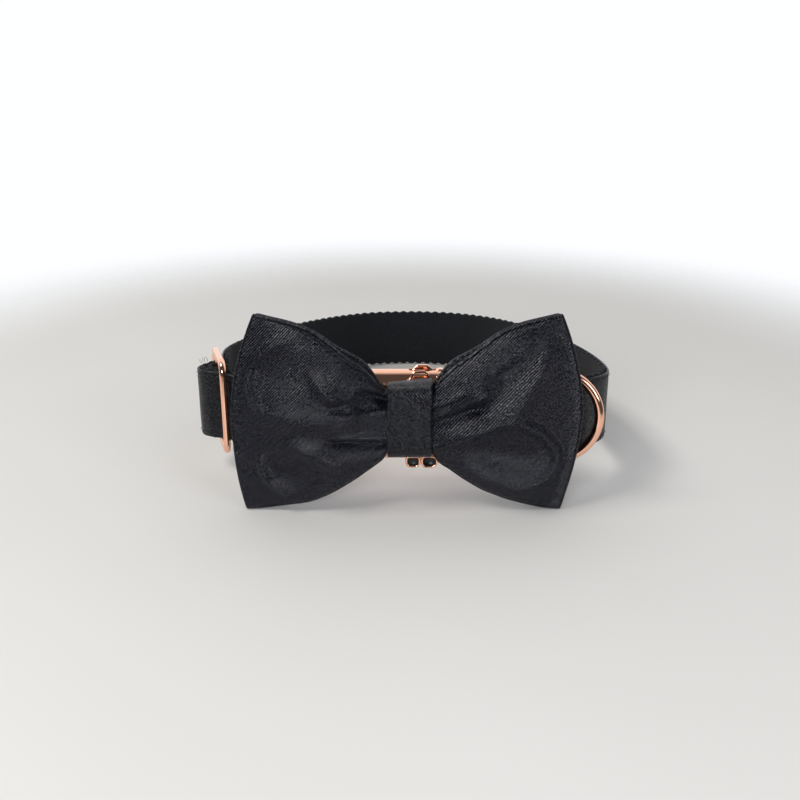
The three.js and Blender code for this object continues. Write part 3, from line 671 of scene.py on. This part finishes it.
def fold_depth(side, x, z):
    """How far the broad folds rise or sink at a place, before FOLD_GAIN."""
    depth = np.zeros_like(x)
    for row_side, reach, height, along, across, lean, rise in front_folds:
        if row_side != side:
            continue
        dx = side * x / BOW_LENGTH - reach
        dz = (z - height * BOW_HEIGHT) / BOW_LENGTH
        turn = math.radians(lean)
        a = (dx * math.cos(turn) + dz * math.sin(turn)) / along
        b = (dz * math.cos(turn) - dx * math.sin(turn)) / across
        depth += rise * np.exp(-(a**4) - b**2)
    return depth


def crease_height(x, z):
    """How much the creases stand out, before CREASE_GAIN; away from the knot their ends fade."""
    height = np.zeros_like(x)
    spots = np.stack([x.ravel(), z.ravel()], 1)
    for left, right, width, line in front_creases:
        line = smooth_line(line, 0.8)
        away = spots[:, None, :] - line[None, :, :]
        distance = np.linalg.norm(away, axis=2)
        nearest = distance.argmin(1)
        heading = directions(line)[nearest]
        offset = away[np.arange(len(spots)), nearest]
        beside = heading[:, 0] * offset[:, 1] - heading[:, 1] * offset[:, 0]
        far = distance.min(1)
        lefts = 0.5 + 0.5 * np.tanh(beside / (0.22 * width))
        share = nearest / (len(line) - 1)
        fade = smoothstep(share, -0.02, 0.32) * (1 - smoothstep(share, 0.8, 1.02))
        keep = np.where(np.abs(x.ravel()) < 9, 1, fade)
        rise = (left * lefts + right * (1 - lefts)) * np.exp(-((far / width) ** 2)) * keep
        height += rise.reshape(x.shape)
    return height


def pouch_grid(front_face, size, loft, belly, knot):
    """A pouch as grids of x, z and puff, with the wing stations along the rows.

    belly and knot are how far its face puffs out in the wings and under the knot.
    """
    reach = np.concatenate([np.linspace(0.012, 0.2, 16), np.linspace(0.21, 1, 78)])
    height = np.sin(np.linspace(-1, 1, 101) * math.pi / 2) * 0.35 + np.linspace(-1, 1, 101) * 0.65
    rows = []
    for side, order in ((-1, reach[::-1]), (1, reach)):
        r, h = np.meshgrid(order, height, indexing="ij")
        x, z = wing_grid(side, r, h, size, loft)
        open_share = smoothstep(r, 0.1, 0.45)
        full = knot + (belly - knot) * open_share
        outward = 1 - smoothstep(r, 0.62, 1.0)
        across = np.sqrt(np.clip(1 - np.abs(h) ** 2.4, 0, 1))
        puff = full * outward * across
        if front_face:
            inside = 1 - smoothstep(r, 0.9, 1.0)
            edge = np.clip(across * 1.6, 0, 1)
            puff = full * (1 + FOLD_GAIN * fold_depth(side, x, z)) * outward * across
            puff += CREASE_GAIN * crease_height(x, z) * edge * inside
        rows.append((x, z, puff))
    return [np.concatenate([rows[0][k], rows[1][k]], 0) for k in range(3)]


def edge_loop(rows, columns):
    """The grid points round the outside, in order."""
    i = np.arange(rows)
    j = np.arange(columns)
    top = i * columns + columns - 1
    right = (rows - 1) * columns + j[::-1]
    bottom = i[::-1] * columns
    left = j
    return np.concatenate([top[:-1], right[:-1], bottom[:-1], left[:-1]])


def make_pouch(name, node, material, front_face, size, loft, belly, knot):
    """A turned pouch of two plies: puffed cloth, round edges and a groove where they meet."""
    if front_face:
        front_y, back_y = EDGE_PLANE - LAYER_GAP - PLY_EDGE, EDGE_PLANE - LAYER_GAP
    else:
        front_y, back_y = EDGE_PLANE + LAYER_GAP, EDGE_PLANE + LAYER_GAP + PLY_EDGE
    x, z, puff = pouch_grid(front_face, size, loft, belly, knot)
    rows, columns = x.shape
    front = np.stack([x, front_y - puff * front_face, z + BOW_RISE], -1)
    back = np.stack([x, back_y + puff * (not front_face), z + BOW_RISE], -1)
    points = [front.reshape(-1, 3), back.reshape(-1, 3)]
    count = rows * columns
    faces = [grid_faces(rows, columns, flip=True), grid_faces(rows, columns, start=count)]
    loop = edge_loop(rows, columns)
    rim = points[0][loop]
    heading = directions(rim[:, [0, 2]], closed=True)
    outward = np.stack([-heading[:, 1], np.zeros(len(loop)), heading[:, 0]], 1)
    depth = np.array([-0.94, -0.86, -0.72, -0.52, -0.34, -0.2, -0.12, -0.04,
                      0.04, 0.12, 0.2, 0.34, 0.52, 0.72, 0.86, 0.94])
    bulge = RIM * np.sqrt(np.clip(1 - ((np.abs(depth) - 0.54) / 0.44) ** 2, 0, 1))
    middle, half = (front_y + back_y) / 2, (back_y - front_y) / 2
    strips = []
    for d, b in zip(depth, bulge):
        strip = rim + outward * b
        strip[:, 1] = middle + d * half
        strips.append(strip)
    points.append(np.concatenate(strips))
    first = 2 * count
    last = first + (len(depth) - 1) * len(loop)
    faces.append(grid_faces(len(depth), len(loop), wrap_columns=True, start=first, flip=True))
    here = np.arange(len(loop))
    beside = np.roll(here, -1)
    faces.append(np.stack([loop, first + here, first + beside, loop[beside]], 1))
    faces.append(np.stack([loop[beside] + count, last + beside, last + here, loop + count], 1))
    cloth = [points[0][:, [0, 2]], points[1][:, [0, 2]]]
    for d in depth:
        cloth.append((rim + outward * (1 + d) * half)[:, [0, 2]])
    piece = make_piece(name, np.concatenate(points), np.concatenate(faces),
                       np.concatenate(cloth), material)
    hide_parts(node)


def rounded_loop(half_a, half_b, corner, step):
    """Points round a rounded rectangle, clockwise, so that its outside is on the line's left."""
    turns = []
    for centre_a, centre_b, start in (
        (half_a - corner, half_b - corner, 90), (half_a - corner, corner - half_b, 0),
        (corner - half_a, corner - half_b, -90), (corner - half_a, half_b - corner, -180),
    ):
        for angle in np.radians(np.linspace(start, start - 90, 7)):
            turns.append((centre_a + corner * math.cos(angle), centre_b + corner * math.sin(angle)))
    ring = np.array(turns + turns[:1])
    run = run_length(ring)
    at = np.linspace(0, run[-1], int(run[-1] / step), endpoint=False)
    return np.stack([np.interp(at, run, ring[:, k]) for k in (0, 1)], 1)


def make_loop_band(name, ring, half_width, thickness, x, material, shape=None):
    """A closed band round the strap or the bow, drawn in y and z; shape() may bend its section."""
    section = band_section(thickness / 2, half_width, min(0.5, thickness / 2), 25)
    out, across = (np.broadcast_to(part, (len(ring), len(part))) for part in section)
    if shape:
        out, across = shape(ring, out, across)
    points, faces, cloth = sweep_band(ring[::-1], out[::-1], across[::-1], closed=True)
    points = points[:, [2, 0, 1]] + np.array([x, 0, 0])
    return make_piece(name, points, faces, cloth, material)


def make_knot(material):
    """The satin band round the bow: sides turned in, a little full, with soft lengthwise folds."""
    front, back = KNOT_FRONT + KNOT_PLY / 2, KNOT_BACK - KNOT_PLY / 2
    top, bottom = KNOT_TOP - KNOT_PLY / 2, KNOT_BOTTOM - KNOT_PLY / 2
    ring = rounded_loop((back - front) / 2, (top + bottom) / 2, KNOT_CORNER, 0.45)
    ring = ring + np.array([(front + back) / 2, BOW_RISE + (top - bottom) / 2])

    def shape(ring, out, across):
        high = ring[:, 1:] - BOW_RISE
        is_front = smoothstep(-(ring[:, :1] - (front + 1.5)), -0.5, 1.0)
        crown = 0.35 * np.cos(across / KNOT_HALF * math.pi / 2) * np.cos(high / 13 * math.pi / 2)
        folds = 0.09 * np.sin(across * 1.35 + 0.6 * np.sin(high * 0.2)) * (np.abs(across) < 6.5)
        out = out + (crown + folds) * is_front * (out > 0)
        waist = 1 - 0.03 * np.exp(-((high / 6) ** 2))
        slant = 0.09 * across * smoothstep(high, 4.5, 7.5)
        return out + slant, across * waist

    band = make_loop_band("bow_knot_band", ring, KNOT_HALF, KNOT_PLY, KNOT_X, material, shape)
    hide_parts("bow_knot")


def make_keeper(side, node, material):
    """A narrow elastic loop round the strap's two layers, behind the bow."""
    pinch, stack, gap = 1.0, 2.1, 0.3
    front = -(pinch + stack + gap) - KEEPER_PLY / 2
    back = pinch + WEBBING / 2 + gap + KEEPER_PLY / 2
    ring = rounded_loop((back - front) / 2, STRAP_HALF + gap + KEEPER_PLY / 2, 0.9, 0.4)
    ring = ring + np.array([(front + back) / 2, 0])
    keeper = make_loop_band(node + "_band", ring, KEEPER_HALF, KEEPER_PLY, side * KEEPER_X,
                            material)
    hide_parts(node)


# Metal fittings

WIRE = 1.5  # half the leash ring's wire
RING_HALF = 14.9  # the bow's radius, to the middle of the wire
RING_STRAIGHT = 1.2  # from the bar to the start of the bow
RING_CORNER = 1.0
RING_PIVOT = np.array([46.0, -2.0])
RING_OPEN = math.radians(10)

SLIDER_MIDDLE = np.array([-64.3, 17.0])
SLIDER_LEAN = math.radians(18)
SLIDER_HALF = (12.0, 15.25)  # from its middle to the middle of its bars, along and across the strap
SLIDER_BAR = (1.4, 1.2)  # half the bars' width and thickness
SLIDER_CORNER = 3.4

CASTING_FLAT = 9.4  # height where a buckle half starts to roll over
CASTING_ROLL = 5.75  # from there to its edge


def sweep_bar(path, half_width, half_thickness, closed, start=0):
    """A round bar along a line in a plane: points in that plane and out of it, and the faces."""
    along = directions(path, closed)
    turns = np.linspace(0, 2 * math.pi, 20, endpoint=False)
    out = half_width * np.cos(turns)
    first = path[:, :1] + out * along[:, 1:]
    second = path[:, 1:] - out * along[:, :1]
    third = np.broadcast_to(half_thickness * np.sin(turns), first.shape)
    faces = grid_faces(len(path), len(turns), wrap_rows=closed, wrap_columns=True, start=start)
    return np.stack([first, second, third], -1).reshape(-1, 3), faces


def end_caps(bar, path, start=0):
    """The two end faces of a bar that sweep_bar made along the path."""
    size = len(bar) // len(path)
    return [np.arange(size)[::-1] + start, np.arange(size) + start + len(bar) - size]


def make_leash_ring(material):
    """A cast D ring: a straight bar in the strap and a round bow, with soft solder shoulders."""
    half, corner = RING_HALF, RING_CORNER
    turn = np.radians(np.linspace(-90, 90, 61))
    bow = np.stack([RING_STRAIGHT + half * np.cos(turn), half * np.sin(turn)], 1)
    low = np.radians(np.linspace(180, 270, 7))
    lower = np.stack([corner + corner * np.cos(low), -half + corner + corner * np.sin(low)], 1)
    upper = lower[::-1] * np.array([1, -1])
    bar = np.stack([np.zeros(9), np.linspace(half - corner, corner - half, 11)[1:-1]], 1)
    path = smooth_line(np.concatenate([bar, lower, bow, upper]), 0.55, closed=True)
    flat, faces = sweep_bar(path, WIRE, WIRE, True)
    x, z, y = flat.T
    cos, sin = math.cos(RING_OPEN), math.sin(RING_OPEN)
    points = np.stack([RING_PIVOT[0] + x * cos + y * sin, RING_PIVOT[1] - x * sin + y * cos, z], 1)
    ring = make_piece("leash_ring_wire", points, faces, flat[:, :2], material, body="leash_ring")
    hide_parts("leash_ring")


def make_slider(material):
    """A cast frame of round bars with a middle bar, which the strap runs through."""
    flat, faces = sweep_bar(rounded_loop(*SLIDER_HALF, SLIDER_CORNER, 0.45), *SLIDER_BAR, True)
    rise = np.linspace(-SLIDER_HALF[1], SLIDER_HALF[1], 40)
    middle = np.stack([np.zeros_like(rise), rise], 1)
    bar, bar_faces = sweep_bar(middle, *SLIDER_BAR, False, len(flat))
    caps = end_caps(bar, middle, len(flat))
    flat = np.concatenate([flat, bar])
    along, z, out = flat.T
    cos, sin = math.cos(SLIDER_LEAN), math.sin(SLIDER_LEAN)
    x = SLIDER_MIDDLE[0] - along * sin - out * cos
    y = SLIDER_MIDDLE[1] + along * cos - out * sin
    faces = [*faces, *bar_faces, *caps]
    slider = make_piece("strap_slider_cast", np.stack([x, y, z], 1), faces, flat[:, :2], material)
    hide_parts("strap_slider")


def make_casting(name, node, material):
    """A buckle half, polished: its section is oval, so that the top and bottom edges roll over."""
    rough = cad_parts[node].copy()
    bpy.context.scene.collection.objects.link(rough)
    skin = rough.modifiers.new("skin", "REMESH")
    skin.mode = "VOXEL"
    skin.voxel_size = 0.3 * MM
    polish = rough.modifiers.new("polish", "SMOOTH")
    polish.factor = 0.5
    polish.iterations = 8
    shaped = rough.evaluated_get(bpy.context.evaluated_depsgraph_get()).to_mesh()
    points = unplaced([v.co for v in shaped.vertices])
    faces = [list(face.vertices) for face in shaped.polygons]
    bpy.data.objects.remove(rough)
    high = np.clip((np.abs(points[:, 2]) - CASTING_FLAT) / CASTING_ROLL, 0, 0.96)
    points[:, 1] *= np.sqrt(1 - high**2)
    piece = make_piece(name, points, faces, points[:, [0, 2]], material)
    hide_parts(node)


def make_bead(name, outline, material, closed, y, half):
    """A thin round bead or thread that faces the front, drawn in x and z."""
    line = smooth_line(outline, 0.6 * half, closed=closed)
    flat, faces = sweep_bar(line, half, half, closed)
    if not closed:
        faces = [*faces, *end_caps(flat, line)]
    points = np.stack([flat[:, 0], flat[:, 2] + y, flat[:, 1]], 1)
    make_piece(name, points, faces, flat[:, :2], material)


def make_fill_plate(name, outline, material, y):
    """The dark fill inside a bead: a thin plate just behind it."""
    rim = smooth_line(outline, 0.3, closed=True)
    count = len(rim)
    front = np.stack([rim[:, 0], np.full(count, y), rim[:, 1]], 1)
    points = np.concatenate([front, front + (0, 0.4, 0)])
    sides = grid_faces(2, count, wrap_columns=True)
    faces = [*sides, np.arange(count), np.arange(count)[::-1] + count]
    make_piece(name, points, faces, points[:, [0, 2]], material)


# Outlines in x and z, on the buckle's front face.
release_beads = {
    "square": [(0.2, -13.6), (0.0, -15.6), (0.6, -16.5), (2.0, -16.7), (3.5, -16.5), (4.1, -15.6),
               (3.9, -13.6), (2.0, -13.4)],
    "hexagon": [(5.4, -13.6), (5.1, -15.7), (5.8, -16.7), (7.4, -16.8), (8.8, -16.6), (9.9, -14.9),
                (9.0, -13.4), (7.2, -13.3)],
}
release_arm = [(-2.6, 10.2), (-1.2, 11.4), (0.6, 12.6), (1.6, 13.8), (1.9, 14.8), (3.6, 15.2),
               (6.2, 14.9), (6.7, 13.8), (6.8, 12.2)]

# Thin pale strands that stand out of the strap's upper edge beside the slider, in x and z.
pale_wisps = [
    [(-70.6, 12.2), (-70.9, 13.0), (-70.6, 13.9)], [(-70.0, 12.2), (-70.2, 13.2), (-69.6, 14.2)],
    [(-69.3, 12.2), (-69.1, 13.0), (-69.4, 13.8)], [(-71.0, 11.6), (-71.6, 12.4), (-71.9, 13.2)],
]


# The scene

make_camera()
make_floor()
make_studio()
make_light("window", (-0.62, -0.2, 0.95), (0, 0, 0), (0.4, 0.3), 5.4, "#FFFDF8")
make_light("softbox", (-0.2, -0.62, 0.27), (0, -0.06, 0.03), (0.3, 0.16), 2.1, "#F4F7FF")
make_light("card", (0.5, -0.5, 0.3), (0.05, -0.05, 0.03), (0.3, 0.36), 1.2, "#F4F7FF")
bpy.context.scene.view_settings.view_transform = "Standard"

# Each satin's first colour is the cloth's own dark. Its second is the painted sheen on the floats
# and glints.
bow_cloth = satin("bow_satin_twill", "#010205", "#282A3C")
knot_cloth = satin("knot_satin_twill", "#010204", "#222433")
strap_cloth = satin("strap_satin", "#06070A", "#22242C")
webbing_cloth = woven_webbing()
elastic_cloth = knitted_elastic()
thread = sewing_thread()
plating = rose_gold()
dark_fill = black_fill()
wisp_finish = wisp_matt()

make_webbing(webbing_cloth)
face_line = make_facing(strap_cloth)
make_stitches(face_line, thread)

make_pouch("bow_front", "bow_front_layer", bow_cloth, front_face=True, size=1.0, loft=0.0,
           belly=4.4, knot=1.3)
make_pouch("bow_back", "bow_back_layer", bow_cloth, front_face=False, size=0.99, loft=0.055,
           belly=3.8, knot=1.1)
make_knot(knot_cloth)
make_keeper(-1, "elastic_keeper_left", elastic_cloth)
make_keeper(1, "elastic_keeper_right", elastic_cloth)

make_leash_ring(plating)
make_slider(plating)
make_casting("buckle_socket_cast", "buckle_socket", plating)
make_casting("buckle_plug_cast", "buckle_plug", plating)
for name, outline in release_beads.items():
    make_bead("release_bead_" + name, outline, plating, closed=True, y=-4.3, half=0.4)
    make_fill_plate("release_fill_" + name, outline, dark_fill, y=-4.2)
make_bead("release_arm", release_arm, plating, closed=False, y=-4.1, half=0.42)
for number, outline in enumerate(pale_wisps):
    make_bead(f"pale_wisp_{number}", outline, wisp_finish, closed=False, y=21.0, half=0.1)
